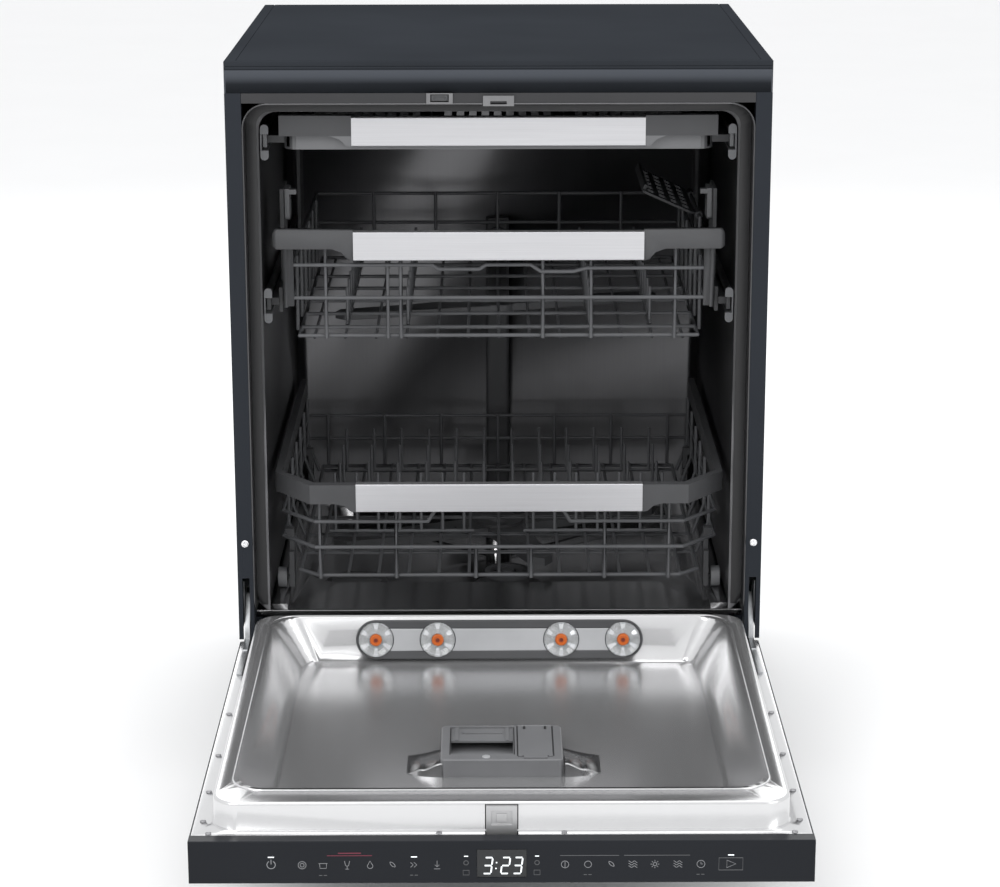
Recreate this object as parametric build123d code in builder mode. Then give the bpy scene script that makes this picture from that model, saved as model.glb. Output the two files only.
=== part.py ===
"""Free-standing 60 cm dishwasher with its door open, in millimetres.

Frame: +Z up, +X to the user's right, the user stands on the -Y side.
The origin is on the floor, under the middle of the cabinet's front plane.
"""
from build123d import *
import os

os.makedirs("parts", exist_ok=True)

# ---- driving dimensions -------------------------------------------------
W = 600.0                 # overall width
H = 850.0                 # overall height
D = 560.0                 # cabinet depth behind the front plane
TOP_T = 35.0              # worktop thickness
Z_TOP = H - TOP_T         # underside of the worktop
SHEET = 1.2               # painted sheet steel
PIL_IN = 282.0            # inner edge of the front pillars
PIL_Z0 = 183.0            # lower end of the pillars
NOTCH_Y = 142.0           # toe notch in the side panels
TUB_X = 266.0             # half width of the wash chamber
TUB_Z0, TUB_Z1 = 205.0, 790.0
TUB_Y0, TUB_Y1 = 33.0, 543.5
MOUTH_X = 280.4           # half width of the tub's mouth
MOUTH_Z = 802.0
PIV_Y, PIV_Z = 36.5, 220.5  # door hinge axis
DOOR_L = 560.0            # reach of the open door in front of the cabinet
DOOR_END = 130.0          # tail of the door behind the front plane
DOOR_Z0, DOOR_Z1 = 137.5, 181.0
DOOR_X = 299.0
RIM_Z = 210.0             # raised rim of the inner liner
REC_Z = 160.0             # floor of the liner's recess
WIRE = 4.4                # basket wire
HANDLE_X = 163.5          # half length of the bright handle bars


def blk(x0, x1, y0, y1, z0, z1, mode=Mode.ADD):
    """Block between two corners, in the current part."""
    with Locations(((x0 + x1) / 2, (y0 + y1) / 2, (z0 + z1) / 2)):
        Box(abs(x1 - x0), abs(y1 - y0), abs(z1 - z0), mode=mode)


def both(x0, x1, y0, y1, z0, z1, mode=Mode.ADD):
    """The same block on both sides of the middle plane."""
    blk(x0, x1, y0, y1, z0, z1, mode)
    blk(-x1, -x0, y0, y1, z0, z1, mode)


def rod(p, q, d=WIRE):
    """A straight round wire from p to q."""
    a, b = Vector(*p), Vector(*q)
    return Solid.make_cylinder(d / 2, (b - a).length, Plane(origin=a, z_dir=(b - a).normalized()))


def ball(p, d=WIRE):
    return Solid.make_sphere(d / 2, Plane(origin=p))


def bent(points, d=WIRE):
    """Straight wires through points, with a ball at each bend."""
    out = []
    for i in range(len(points) - 1):
        out.append(rod(points[i], points[i + 1], d))
        if i:
            out.append(ball(points[i], d))
    return out


def save(builder, name):
    builder.part.label = name
    export_step(builder.part, f"parts/{name}.step")


# ---- cabinet ------------------------------------------------------------
with BuildPart() as worktop:
    blk(-300, 300, 0, D, Z_TOP, H)
    fillet(worktop.edges().filter_by(Axis.Z), 2.0)
    chamfer(worktop.faces().sort_by(Axis.Z)[-1].edges(), 0.8)
    # thin grooves under the front edge, and round the inset top panel
    blk(-301, 301, -1, 0.7, 843.6, 844.4, Mode.SUBTRACT)
    blk(-301, 301, -1, 0.7, 840.6, 841.4, Mode.SUBTRACT)
    for s in (-1, 1):
        blk(s * 287.6, s * 286.4, 6, D + 1, H - 1.0, H + 1, Mode.SUBTRACT)
    blk(-287.6, 287.6, 6, 7.2, H - 1.0, H + 1, Mode.SUBTRACT)
save(worktop, "worktop")

for side, s in (("left", -1), ("right", 1)):
    with BuildPart() as panel:
        a, b = sorted((s * (300 - SHEET), s * 300))
        blk(a, b, 0, D - 3, 30, Z_TOP)
        blk(a, b, -1, NOTCH_Y, 0, PIL_Z0, Mode.SUBTRACT)
        a, b = sorted((s * PIL_IN, s * 300))
        blk(a, b, 0, SHEET, PIL_Z0, Z_TOP)
        a, b = sorted((s * PIL_IN, s * (PIL_IN + SHEET)))
        blk(a, b, 0, 20, PIL_Z0, Z_TOP)
        # slot for the hinge arm, and the fixing screw's hole
        a, b = sorted((s * 286.7, s * 294.7))
        blk(a, b, -1, 3, PIL_Z0 - 1, 257, Mode.SUBTRACT)
        with Locations(Plane(origin=(s * 290.5, -1, 299), z_dir=(0, 1, 0))):
            Cylinder(2.6, 6, mode=Mode.SUBTRACT)
        # rear return flange
        a, b = sorted((s * 284, s * 300))
        blk(a, b, D - 3 - SHEET, D - 3, 30, Z_TOP)
    save(panel, f"side_panel_{side}")

with BuildPart() as back_panel:
    blk(-300, 300, D - 3, D - 1.8, 70, Z_TOP)
    # pressed stiffening fields
    for zc in (240, 450, 660):
        blk(-220, 220, D - 1.8, D, zc - 70, zc + 70)
    blk(-250, 250, D - 4, D + 1, 40, 130, Mode.SUBTRACT)
save(back_panel, "back_panel")

FEET = [(-262, 75), (262, 75), (-262, 500), (262, 500)]
with BuildPart() as base_tray:
    # floor, four walls and four bosses, each its own plate with a hairline joint
    blk(-298.6, 298.6, 48, D - 4.3, 30, 34)
    both(296.6, 298.6, NOTCH_Y, D - 6.35, 34.05, 92)
    blk(-298.6, 298.6, D - 6.3, D - 4.3, 34.05, 92)
    blk(-296.6, 296.6, 48, 50, 34.05, 88)
    for x, y in FEET:
        with Locations((x, y, 47.05)):
            Cylinder(15, 26)
    for x, y in FEET:
        with Locations((x, y, 47)):
            Cylinder(5.06, 40, mode=Mode.SUBTRACT)
    # drain and inlet ports through the back wall
    for x in (-120, -60, 90):
        with Locations(Plane(origin=(x, D - 5.3, 62), z_dir=(0, 1, 0))):
            Cylinder(13.8, 8, mode=Mode.SUBTRACT)
save(base_tray, "base_tray")

with BuildPart() as kick_plate:
    blk(-297.5, 297.5, 44, 47.8, 12, 90)
    for i in range(9):
        blk(-160 + i * 40 - 15, -160 + i * 40 + 15, 43, 49, 22, 26, Mode.SUBTRACT)
save(kick_plate, "kick_plate")

for name, pts in (("foot_front_left", FEET[:1]), ("foot_front_right", FEET[1:2]), ("feet_rear", FEET[2:])):
    with BuildPart() as foot:
        for x, y in pts:
            with BuildSketch(Plane.XY) as s0:
                with Locations((x, y)):
                    RegularPolygon(17, 6)
            extrude(amount=8)
            with Locations((x, y, 8 + 8)):
                Cylinder(9, 16)
            with Locations((x, y, 44)):
                Cylinder(5.0, 40)
        fillet(foot.faces().filter_by(lambda f: abs(f.center().Z) < 0.01).edges(), 1.2)
    save(foot, name)

with BuildPart() as crossbar:
    blk(-281.8, 281.8, 0, 20, 803.7, 814.8)
    blk(-75, -54, -1, 80, 804.6, 813.9, Mode.SUBTRACT)
save(crossbar, "front_crossbar")

with BuildPart() as strike:
    # catch plate for the latch
    blk(-17, 17, -2.2, 0, 800.5, 812)
    blk(-9, 9, -3, 1, 802.5, 806, Mode.SUBTRACT)
    # bright frame round the opening pusher
    blk(-79, -50, -1.8, 0, 802.8, 814.8)
    blk(-74.6, -54.4, -3, 1, 805, 813.5, Mode.SUBTRACT)
save(strike, "door_strike")

with BuildPart() as pusher:
    blk(-74, -55, -1.9, 78, 806, 812.8)
    blk(-71, -58, -3, -0.9, 807.6, 811.2, Mode.SUBTRACT)
    fillet(pusher.edges().filter_by(Axis.Y), 0.8)
save(pusher, "opening_pusher")

with BuildPart() as pillar_screws:
    for s in (-1, 1):
        with Locations(Plane(origin=(s * 290.5, -0.9, 299), z_dir=(0, 1, 0))):
            Cylinder(4.2, 1.8)
        with Locations(Plane(origin=(s * 290.5, 6, 299), z_dir=(0, 1, 0))):
            Cylinder(2.5, 12)
        with Locations(Plane(origin=(s * 290.5, -1.8, 299), z_dir=(0, 1, 0))):
            Box(4.4, 0.9, 1.4, mode=Mode.SUBTRACT)
            Box(0.9, 4.4, 1.4, mode=Mode.SUBTRACT)
save(pillar_screws, "pillar_screws")

# ---- tub ----------------------------------------------------------------
def ring_sketch(x, z0, z1, r):
    """Rounded rectangle on an XZ plane, between z0 and z1."""
    with Locations((0, (z0 + z1) / 2)):
        RectangleRounded(2 * x, z1 - z0, r)


def xz(y):
    return Plane(origin=(0, y, 0), x_dir=(1, 0, 0), z_dir=(0, -1, 0))


with BuildPart() as tub:
    # chamber walls, roof and back
    with BuildSketch(xz(TUB_Y1 + 1.5)):
        ring_sketch(TUB_X + 1.5, TUB_Z0 - 2, TUB_Z1 + 1.5, 21.5)
    extrude(amount=TUB_Y1 + 1.5 - 33)
    # stepped seat of the gasket
    with BuildSketch(xz(33)):
        ring_sketch(281.8, TUB_Z0 - 2, 803.5, 27.4)
    extrude(amount=2)
    # mouth
    with BuildSketch(xz(31)):
        ring_sketch(281.8, TUB_Z0 - 2, 803.5, 27.4)
    extrude(amount=31)
    with BuildSketch(xz(31)):
        ring_sketch(MOUTH_X, TUB_Z0 - 60, MOUTH_Z, 26)
    extrude(amount=32, mode=Mode.SUBTRACT)
    with BuildSketch(xz(TUB_Y1)):
        ring_sketch(TUB_X, TUB_Z0 - 2.0 - 30, TUB_Z1, 20)
    extrude(amount=TUB_Y1 - 30, mode=Mode.SUBTRACT)
    # the floor is a piece of its own
    blk(-300, 300, -5, 31, 150, 216, Mode.SUBTRACT)
    # side ribs pressed outward along the rack rails
save(tub, "tub")

DISH = dict(x=228.0, y0=140.0, y1=500.0)
FILT = (11.0, 204.0)
SALT = (-174.0, 200.0)
ARM = (0.0, 318.0)
with BuildPart() as tub_floor:
    blk(-TUB_X + 0.1, TUB_X - 0.1, 31, TUB_Y1 - 0.1, TUB_Z0 - 2, TUB_Z0)
    with BuildSketch(Plane.YZ.offset(-280)):
        with BuildLine():
            Polyline((31, 203), (31, 205.6), (15, 214), (13, 212.6), (29, 203), (31, 203))
        make_face()
    extrude(amount=560)
    both(246, TUB_X - 0.1, 33.2, 541, TUB_Z0, 214.7)
    # dished middle with sloping sides
    for g, z, m in ((2.0, TUB_Z0 - 2, Mode.ADD), (0.0, TUB_Z0 + 0.01, Mode.SUBTRACT)):
        with BuildSketch(Plane.XY.offset(z)):
            with Locations((0, (DISH["y0"] + DISH["y1"]) / 2)):
                RectangleRounded(2 * DISH["x"] + 2 * g, DISH["y1"] - DISH["y0"] + 2 * g, 40)
        extrude(amount=-(z - (175 if m == Mode.SUBTRACT else 173)), taper=24, mode=m)
    # filter well, salt funnel and the post of the spray arm
    with Locations((FILT[0], FILT[1], 174)):
        Cylinder(38.4, 10, mode=Mode.SUBTRACT)
    with Locations((SALT[0] + 0, SALT[1], 174)):
        Cylinder(26.4, 10, mode=Mode.SUBTRACT)
    with Locations((ARM[0], ARM[1], 193)):
        Cylinder(16, 38)
    with Locations((ARM[0], ARM[1], 216)):
        Cylinder(6, 20)
save(tub_floor, "tub_floor")

with BuildPart() as gasket:
    with BuildSketch(xz(30.9)):
        ring_sketch(MOUTH_X - 0.2, 206, MOUTH_Z - 0.2, 25.5)
        with Locations((0, (200 + 791) / 2)):
            RectangleRounded(2 * 268.5, 591, 17, mode=Mode.SUBTRACT)
    extrude(amount=3.6)
    blk(-300, 300, 0, 40, 190, 216, Mode.SUBTRACT)
save(gasket, "door_gasket")

# ---- hinges -------------------------------------------------------------
with BuildPart() as hinge_brackets:
    for s in (-1, 1):
        for x0, x1 in ((284.4, 286.2), (294.6, 296.4)):
            a, b = sorted((s * x0, s * x1))
            blk(a, b, 22, 110, 198, 246)
        a, b = sorted((s * 284.4, s * 296.4))
        blk(a, b, 108, 110, 198, 246)
        with Locations(Plane(origin=(s * 290.4, PIV_Y, PIV_Z), z_dir=(1, 0, 0))):
            Cylinder(4.0, 12.0)
save(hinge_brackets, "hinge_brackets")

with BuildPart() as door_springs:
    for s in (-1, 1):
        with Locations(Plane(origin=(s * 289.5, 240, 130), z_dir=(0, 1, 0))):
            Cylinder(7.5, 150)
            Cylinder(5.0, 160, mode=Mode.SUBTRACT)
        for i in range(24):
            with Locations(Plane(origin=(s * 289.5, 168 + i * 6.2, 130), z_dir=(0, 1, 0))):
                Cylinder(8.2, 3.0)
                Cylinder(5.0, 4.0, mode=Mode.SUBTRACT)
save(door_springs, "door_springs")

with BuildPart() as hinge_arms:
    for s in (-1, 1):
        with BuildSketch(Plane.YZ.offset(287.6 if s > 0 else -293.4)):
            with BuildLine():
                Polyline((-112, 181), (-112, 183.3), (-49, 183.3), (-48, 181.9), (-36, 181.9), (-35, 183.3), (0.9, 183.3), (3, 199), (27, 231), (46, 231),
                         (48, 214), (36, 206), (18, 196), (10, 183), (6, 181), (-112, 181))
            make_face()
            with Locations((PIV_Y, PIV_Z)):
                Circle(13.5)
            with Locations((PIV_Y, PIV_Z)):
                Circle(4.06, mode=Mode.SUBTRACT)
            for y in (-96, -60):
                pass
        extrude(amount=5.8)
save(hinge_arms, "hinge_arms")

# ---- works under the tub ------------------------------------------------
with BuildPart() as sump:
    with Locations((FILT[0], FILT[1], 136)):
        Cylinder(56, 73)
    with Locations((FILT[0], FILT[1], 139)):
        Cylinder(53, 72, mode=Mode.SUBTRACT)
    with Locations(Plane(origin=(FILT[0] + 64, FILT[1], 122), z_dir=(1, 0, 0))):
        Cylinder(14, 26)
        Cylinder(11, 30, mode=Mode.SUBTRACT)

    # drain pump
    with Locations((-72, 250, 110)):
        Cylinder(24, 60)
    with Locations((-72, 250, 72)):
        Cylinder(16, 16)
    blk(-92, -52, 230, 270, 34, 64)
save(sump, "sump_and_drain_pump")

with BuildPart() as circulation_pump:
    with Locations(Plane(origin=(112, FILT[1], 122), z_dir=(1, 0, 0))):
        Cylinder(40, 38)
    with Locations(Plane(origin=(170, FILT[1], 122), z_dir=(1, 0, 0))):
        Cylinder(32, 78)
    with Locations((112, FILT[1] + 52, 150)):
        Cylinder(10, 40)
    blk(102, 122, FILT[1] + 20, FILT[1] + 56, 120, 140)
    blk(96, 200, FILT[1] - 18, FILT[1] + 18, 34, 95)
save(circulation_pump, "circulation_pump")

with BuildPart() as softener:
    blk(-262, -118, 150, 330, 40, 150)
    fillet(softener.edges().filter_by(Axis.Z), 14)
    with Locations((SALT[0], SALT[1], 161)):
        Cylinder(32, 23)
    with Locations((SALT[0], SALT[1], 130)):
        Cylinder(24, 90, mode=Mode.SUBTRACT)
save(softener, "water_softener")

with BuildPart() as fill_case:
    blk(-294, -272, 190, 480, 300, 690)
    fillet(fill_case.edges().filter_by(Axis.X), 18)
    for i in range(5):
        blk(-295, -291.5, 220 + i * 52, 224 + i * 52, 330, 660, Mode.SUBTRACT)
save(fill_case, "fill_case")

with BuildPart() as inlet_valve:
    blk(-142, -98, 500, 540, 42, 84)
    fillet(inlet_valve.edges().filter_by(Axis.Y), 4)
    with Locations(Plane(origin=(-120, 550, 62), z_dir=(0, 1, 0))):
        Cylinder(13.2, 20)
        Cylinder(8.0, 21, mode=Mode.SUBTRACT)
    # drain spigot
    blk(-76, -44, 516, 540, 46, 78)
    with Locations(Plane(origin=(-60, 550, 62), z_dir=(0, 1, 0))):
        Cylinder(10.5, 20)
        Cylinder(8.5, 21, mode=Mode.SUBTRACT)

    # gland of the mains lead
    blk(72, 108, 520, 545, 44, 80)
    with Locations(Plane(origin=(90, 551, 62), z_dir=(0, 1, 0))):
        Cylinder(12, 16)
        Cylinder(4.5, 17, mode=Mode.SUBTRACT)
save(inlet_valve, "rear_connections")

with BuildPart() as steam_generator:
    blk(70, 210, 360, 440, 50, 120)
    fillet(steam_generator.edges().filter_by(Axis.X), 16)
    blk(90, 110, 380, 420, 34, 60)
    blk(170, 190, 380, 420, 34, 60)
save(steam_generator, "steam_generator")

with BuildPart() as feed_pipe:
    blk(-15, 15, 529, TUB_Y1 - 0.1, TUB_Z0, 575)
    fillet(feed_pipe.edges().filter_by(Axis.Z), 5)
    for z in (511, 551):
        with Locations(Plane(origin=(0, 524, z), z_dir=(0, 1, 0))):
            Cylinder(13, 12)
            Cylinder(9, 13, mode=Mode.SUBTRACT)
save(feed_pipe, "feed_pipe")

with BuildPart() as filter_cyl:
    # strainer, flange and lifting ring with its cross piece
    with Locations((FILT[0], FILT[1], 143)):
        Cylinder(37.9, 64)
    with Locations((FILT[0], FILT[1], 176.8)):
        Cylinder(44, 3.2)
    with Locations((FILT[0], FILT[1], 140)):
        Cylinder(35.5, 62, mode=Mode.SUBTRACT)
    with Locations((FILT[0], FILT[1], 196)):
        Cylinder(28, 6)
        Cylinder(22, 7, mode=Mode.SUBTRACT)
    blk(FILT[0] - 27, FILT[0] + 27, FILT[1] - 3, FILT[1] + 3, 177, 196)
    blk(FILT[0] - 3, FILT[0] + 3, FILT[1] - 27, FILT[1] + 27, 177, 196)
    with Locations((FILT[0], FILT[1], 189)):
        Cylinder(8, 22)
save(filter_cyl, "filter_cylinder")

with BuildPart() as salt_cap:
    with Locations((SALT[0], SALT[1], 181.5)):
        Cylinder(38, 12.6)
    fillet(salt_cap.faces().sort_by(Axis.Z)[-1].edges(), 3)
    with Locations((SALT[0], SALT[1], 188)):
        Cylinder(30, 6, mode=Mode.SUBTRACT)
    blk(SALT[0] - 30.5, SALT[0] + 30.5, SALT[1] - 5, SALT[1] + 5, 184, 191)
    with Locations((SALT[0], SALT[1], 158)):
        Cylinder(23.6, 36)
save(salt_cap, "salt_cap")

with BuildPart() as low_arm:
    # four-bladed lower spray arm on its hub
    with Locations((ARM[0], ARM[1], 221)):
        Cylinder(30, 17)
    for ang in (20, 110, 200, 290):
        with BuildSketch(Plane(origin=(ARM[0], ARM[1], 216), x_dir=(1, 0, 0), z_dir=(0, 0, 1)).rotated((0, 0, ang))):
            r = 205 if ang in (20, 200) else 150
            with BuildLine():
                Polyline((0, -24), (r, -15), (r + 12, 0), (r, 15), (0, 24), (0, -24))
            make_face()
        extrude(amount=10)
    with Locations((ARM[0], ARM[1], 219)):
        Cylinder(6.08, 22, mode=Mode.SUBTRACT)
    with Locations((ARM[0], ARM[1], 229.4)):
        Cylinder(13, 6)
    for ang in (20, 110, 200, 290):
        with Locations(Plane(origin=(ARM[0], ARM[1], 226), x_dir=(1, 0, 0), z_dir=(0, 0, 1)).rotated((0, 0, ang))):
            with Locations((60, 5), (95, -4), (130, 4)):
                Cylinder(2.5, 4, mode=Mode.SUBTRACT)
save(low_arm, "lower_spray_arm")

# ---- rack rails ---------------------------------------------------------
RAIL_Z = dict(top=755.0, mid=569.0)
with BuildPart() as rails:
    for z in RAIL_Z.values():
        both(263.6, 265.9, 40, 535, z - 11, z + 11)
        both(257.5, 263.6, 40, 535, z + 9.4, z + 11)
        both(257.5, 263.6, 40, 535, z - 11, z - 9.4)
        both(258.6, 263.6, 533, 535, z - 9.4, z + 9.4)
save(rails, "rack_rails")

with BuildPart() as rail_caps:
    for z in RAIL_Z.values():
        for s in (-1, 1):
            with BuildSketch(xz(39.8)):
                with Locations((s * 260.3, z)):
                    SlotOverall(40, 9, rotation=90)
                with Locations((s * 259.4, z)):
                    Rectangle(8.4, 18.4, mode=Mode.SUBTRACT)
            extrude(amount=5)
save(rail_caps, "rail_end_caps")

# ---- door ---------------------------------------------------------------
with BuildPart() as door_panel:
    blk(-DOOR_X, DOOR_X, -544.9, DOOR_END, DOOR_Z0, DOOR_Z0 + SHEET)
    both(DOOR_X - SHEET, DOOR_X, -544.9, -1.5, DOOR_Z0, DOOR_Z1 - 0.2)
    both(DOOR_X - SHEET, DOOR_X, -1.5, DOOR_END, DOOR_Z0, 165)
    blk(-DOOR_X, DOOR_X, DOOR_END - SHEET, DOOR_END, DOOR_Z0, 165)
save(door_panel, "door_outer_panel")

with BuildPart() as fascia:
    blk(-DOOR_X, DOOR_X, -DOOR_L, -545, DOOR_Z0, DOOR_Z1)
    fillet(fascia.edges().filter_by(Axis.X).filter_by(lambda e: e.center().Y < -559), 1.5)
    blk(-294, 294, -556, -544, DOOR_Z0 + 3, DOOR_Z1 - 3, Mode.SUBTRACT)
    # window of the display
    blk(-24, 24, -DOOR_L - 1, -559.2, 143.5, 172.5, Mode.SUBTRACT)
save(fascia, "control_fascia")

with BuildPart() as board:
    blk(-150, 150, -554.8, -553.2, 142, 176)
    for x in range(-130, 131, 26):
        blk(x - 5, x + 5, -553.2, -550, 148, 158)
save(board, "control_board")


def recess(g, ztop, zbot):
    """Loft of the liner's recess, grown outward by g."""
    with BuildSketch(Plane.XY.offset(zbot)) as low:
        with Locations((0, -241.5)):
            RectangleRounded(452 + 2 * g, 461 + 2 * g, 18)
    with BuildSketch(Plane.XY.offset(ztop)) as high:
        with Locations((0, -250)):
            RectangleRounded(516 + 2 * g, 498 + 2 * g, 30)
    return [low.sketch, high.sketch]


with BuildPart() as rec_out:
    loft(recess(1.5, RIM_Z, REC_Z - 1.5))
with BuildPart() as rec_in:
    loft(recess(0, RIM_Z, REC_Z))
with BuildPart() as liner:
    blk(-297.5, 297.5, -544.9, -1.5, DOOR_Z1 - 1.5, DOOR_Z1)
    blk(-279.4, 279.4, -1.5, DOOR_END - 2, DOOR_Z1 - 1.5, DOOR_Z1)
    with BuildSketch(Plane.XY.offset(DOOR_Z1 - 1.5)):
        with Locations((0, (-535 + 8) / 2)):
            RectangleRounded(558, 543, 26)
    extrude(amount=RIM_Z - DOOR_Z1 + 1.5)
    fillet(liner.faces().sort_by(Axis.Z)[-1].edges(), 3.5)
    with BuildSketch(Plane.XY.offset(DOOR_Z1 - 4)):
        with Locations((0, (-535 + 8) / 2)):
            RectangleRounded(555, 540, 24.5)
    extrude(amount=RIM_Z - DOOR_Z1 + 2.5, mode=Mode.SUBTRACT)
    add(rec_out.part)
    add(rec_in.part, mode=Mode.SUBTRACT)
    # slot for the latch
    blk(-16, 16, -550, -533, DOOR_Z1 - 4, DOOR_Z1 + 27, Mode.SUBTRACT)
save(liner, "door_liner")

with BuildPart() as latch:
    blk(-15, 15, -538, -533.6, 181.8, 207.2)
    blk(-10, 10, -540, -536.4, 188, 202, Mode.SUBTRACT)
    blk(-5, 5, -537.6, -535, 190.5, 199.5)
    blk(-15, 15, -538, -534, 160, 181.8)
save(latch, "latch")

with BuildPart() as door_screws:
    pts = [(297 - 6.5, -441), (297 - 6.5, -346), (290.5, -230), (289, -513), (281, -541.5), (60, -541.5)]
    for x, y in pts:
        for s in (-1, 1):
            with Locations((s * x, y, DOOR_Z1 + 0.55)):
                Cylinder(2.9, 1.1)
                Box(3.6, 0.7, 1.2, mode=Mode.SUBTRACT)
save(door_screws, "door_screws")

# steam bar on the sloping wall next to the hinge
BAR = Plane(origin=(0, -6.05, 185), x_dir=(-1, 0, 0), z_dir=(0, -50, 10))
with BuildPart() as bezel:
    with BuildSketch(BAR.offset(0.15)):
        SlotOverall(330, 45)
    extrude(amount=5.5)
    fillet(bezel.faces().sort_by(Axis.Y)[0].edges(), 1.6)
    with BuildSketch(BAR.offset(4.4)):
        Rectangle(262, 26)
    extrude(amount=4, mode=Mode.SUBTRACT)
    with BuildSketch(BAR.offset(3.0)):
        with Locations((-142, 0), (-71, 0), (71, 0), (142, 0)):
            Circle(20.4)
    extrude(amount=6, mode=Mode.SUBTRACT)
save(bezel, "steam_bar_bezel")

with BuildPart() as bar_cover:
    with BuildSketch(BAR.offset(4.4)):
        Rectangle(261.6, 25.6)
        with Locations((-142, 0), (-71, 0), (71, 0), (142, 0)):
            Circle(20.8, mode=Mode.SUBTRACT)
    extrude(amount=1.4)
save(bar_cover, "steam_bar_cover")

with BuildPart() as lenses:
    with BuildSketch(BAR.offset(3.0)):
        with Locations((-142, 0), (-71, 0), (71, 0), (142, 0)):
            Circle(20.1)
    extrude(amount=4.8)
    chamfer(lenses.faces().sort_by(Axis.Y)[:4].edges(), 1.6)
    with BuildSketch(BAR.offset(3.0)):
        with Locations((-142, 0), (-71, 0), (71, 0), (142, 0)):
            Circle(7.2)
    extrude(amount=6, mode=Mode.SUBTRACT)
save(lenses, "nozzle_lenses")

with BuildPart() as nozzles:
    with BuildSketch(BAR.offset(3.0)):
        with Locations((-142, 0), (-71, 0), (71, 0), (142, 0)):
            Circle(6.0)
    extrude(amount=6.4)
    chamfer(nozzles.faces().sort_by(Axis.Y)[:4].edges(), 0.8)
    with BuildSketch(BAR.offset(6.0)):
        with Locations((-142, 0), (-71, 0), (71, 0), (142, 0)):
            Circle(2.2)
    extrude(amount=5, mode=Mode.SUBTRACT)
save(nozzles, "steam_nozzles")

# dispenser
with BuildPart() as dispenser:
    blk(-62, 64, -354, -259, REC_Z, 179.2)
    fillet(dispenser.edges().filter_by(Axis.Z), 5)
    chamfer(dispenser.faces().sort_by(Axis.Z)[-1].edges(), 1.2)
    # detergent cup with side grooves for its lid
    blk(-52, 13, -338, -264, 166, 181, Mode.SUBTRACT)
    blk(-54, 15, -338.5, -263.5, 175.2, 177.9, Mode.SUBTRACT)
    # rinse-aid well under its flap
    blk(22, 50, -336, -268, 168, 181, Mode.SUBTRACT)
    blk(17.8, 54, -346.5, -259.5, 177.4, 181, Mode.SUBTRACT)
    with Locations((-15, -346.5, 176)):
        Cylinder(4.7, 12, mode=Mode.SUBTRACT)
save(dispenser, "dispenser_housing")

with BuildPart() as det_lid:
    blk(-53.7, 14.7, -299, -263.8, 175.4, 177.7)
    blk(-40, 2, -281, -275, 177.7, 179.4)
    blk(-48, -44, -299, -264, 177.7, 178.6)
    blk(5, 9, -299, -264, 177.7, 178.6)
save(det_lid, "detergent_lid")

with BuildPart() as flap:
    blk(18.2, 53.6, -346, -262, 177.7, 179.8)
    blk(24, 48, -352, -346, 179.3, 180.6)
    blk(22, 50, -346.3, -345, 178.2, 180.6)
    with Locations(Plane(origin=(35.9, -261.6, 179.0), z_dir=(1, 0, 0))):
        Cylinder(1.2, 35.4)
save(flap, "rinse_aid_flap")

with BuildPart() as button:
    with Locations((-15, -346.5, 175.6)):
        Cylinder(4.4, 8.8)
    fillet(button.faces().sort_by(Axis.Z)[-1].edges(), 0.8)
save(button, "dispenser_button")

# ---- handles ----
def handle_ends(y0, y1, x0, x1, za, zb, zlow, ztop):
    """Plastic end pieces either side of a bright bar, flared next to it."""
    for s in (-1, 1):
        with BuildSketch(xz(y1)) as prof:
            with BuildLine():
                Polyline((s * x0, zlow), (s * (x0 + 6), zlow + 1), (s * (x0 + 13), za - 4), (s * (x0 + 24), za),
                         (s * x1, za), (s * x1, zb), (s * x0, ztop), (s * x0, zlow))
            make_face()
        yield prof.sketch



# ---- cutlery tray -------------------------------------------------------
with BuildPart() as top_tray:
    blk(-240, 240, 48, 505, 745, 776)
    fillet(top_tray.edges().filter_by(Axis.Z), 16)
    blk(-237, 237, 51, 502, 747.4, 780, Mode.SUBTRACT)
    # lower side walls behind the handle, three bays
    blk(-225, 225, 40, 60, 762, 780, Mode.SUBTRACT)
    blk(-81, -78, 50, 503, 747, 768)
    blk(78, 81, 50, 503, 747, 768)
    for xc in (-158, 0, 158):
        with Locations((xc, 277)):
            with GridLocations(15, 66, 9, 6):
                with Locations((0, 0, 746)):
                    Box(9, 54, 6, mode=Mode.SUBTRACT)
    # cutlery combs
    for xc in (-158, 158):
        for j in range(8):
            blk(xc - 60, xc + 60, 92 + j * 52, 94.4 + j * 52, 747.4, 760)
            for i in range(9):
                blk(xc - 60 + i * 14, xc - 52 + i * 14, 91 + j * 52, 95 + j * 52, 751, 761, Mode.SUBTRACT)
    # runners in the rails
    both(239, 258.5, 60, 480, 751, 759)
    both(258.5, 262.6, 48, 500, 747.5, 762.5)
    # handle ends, behind and beside the bright bar
    for sk in handle_ends(35, 47.8, HANDLE_X + 0.1, 244, 762, 785, 750, 784.5):
        extrude(sk, amount=12.6)
    both(60, HANDLE_X - 6, 46.1, 48.5, 748, 776)
    both(120, 226, 46.1, 48.5, 745.4, 764)
save(top_tray, "cutlery_tray")


with BuildPart() as top_bar:
    blk(-HANDLE_X, HANDLE_X, 34, 46, 750.6, 783)
    fillet(top_bar.edges().filter_by(Axis.X), 1.5)
save(top_bar, "cutlery_tray_handle_bar")

# ---- middle basket ------------------------------------------------------
MX, MY0, MY1, MZ0, MZ1, MZ2 = 234.0, 50.0, 503.0, 529.5, 575.0, 613.0
def fused(wires):
    """One solid from wires that run into each other."""
    with BuildPart() as frame:
        add(wires)
    return frame.part


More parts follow.
